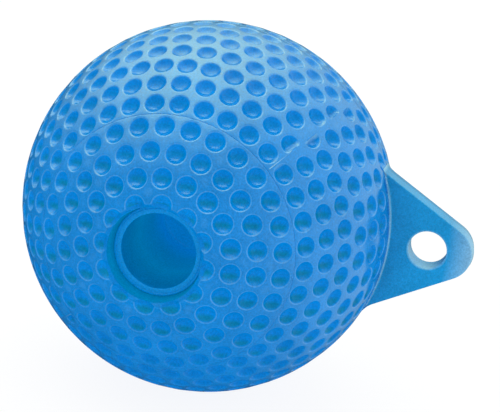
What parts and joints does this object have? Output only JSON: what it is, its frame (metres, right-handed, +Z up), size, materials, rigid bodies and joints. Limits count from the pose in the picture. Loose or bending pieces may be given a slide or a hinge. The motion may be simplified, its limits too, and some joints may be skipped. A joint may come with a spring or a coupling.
{
  "type": "dimpled lawn ball",
  "caption": "Hollow moulded ball with a dimpled surface, a recessed blind socket for a stick and a flat lug with an eye for a cord.",
  "frame": {"origin": "centre of the ball", "axes": "-Y along the socket's axis, out of the mouth; +X along the lug, from the ball's centre to the eye; +Z up"},
  "size_m": [0.1123, 0.0904, 0.092],
  "materials": {
    "shell_plastic": "satin moulded plastic, self-coloured blue",
    "socket_plastic": "smooth moulded plastic, self-coloured blue"
  },
  "bodies": {
    "root": {"mouth_cap": "shell_plastic", "front_shell": "shell_plastic", "rear_shell": "shell_plastic", "socket": "socket_plastic"}
  },
  "joints": []
}
